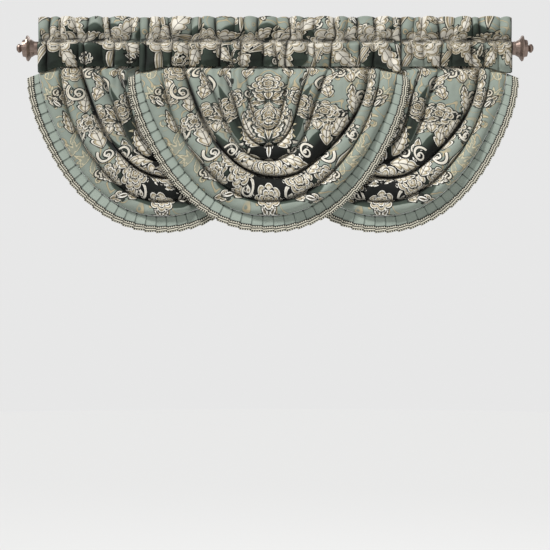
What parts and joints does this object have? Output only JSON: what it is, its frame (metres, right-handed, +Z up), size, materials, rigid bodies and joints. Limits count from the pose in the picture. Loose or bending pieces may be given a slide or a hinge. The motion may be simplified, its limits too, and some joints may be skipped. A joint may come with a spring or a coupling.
{
  "type": "waterfall valances on a curtain rod",
  "caption": "Overlapping waterfall valances with gathered headings, swagged U-shaped folds, pleated ruffles and a flat braid, hung on a curtain rod with trumpet finials.",
  "frame": {"origin": "middle of the rod, on its axis", "axes": "+X along the rod to the right as seen from the room, +Y towards the wall, +Z up"},
  "size_m": [1.9986, 0.1477, 0.8397],
  "materials": {
    "rod_metal": "dusty rose bronze, satin",
    "jacquard": "woven floral jacquard in pale sage, slate green, cream and tan",
    "ruffle_cloth": "plain sage cloth, knife-pleated",
    "braid": "cream and black braid with picot edges"
  },
  "bodies": {
    "root": {"rod": "rod_metal", "finial_left": "rod_metal", "finial_right": "rod_metal", "heading_left": "jacquard", "heading_centre": "jacquard", "heading_right": "jacquard", "swag_left": "jacquard", "swag_centre": "jacquard", "swag_right": "jacquard", "ruffle_left": "ruffle_cloth", "ruffle_centre": "ruffle_cloth", "ruffle_right": "ruffle_cloth", "braid_left": "braid", "braid_centre": "braid", "braid_right": "braid"}
  },
  "joints": []
}
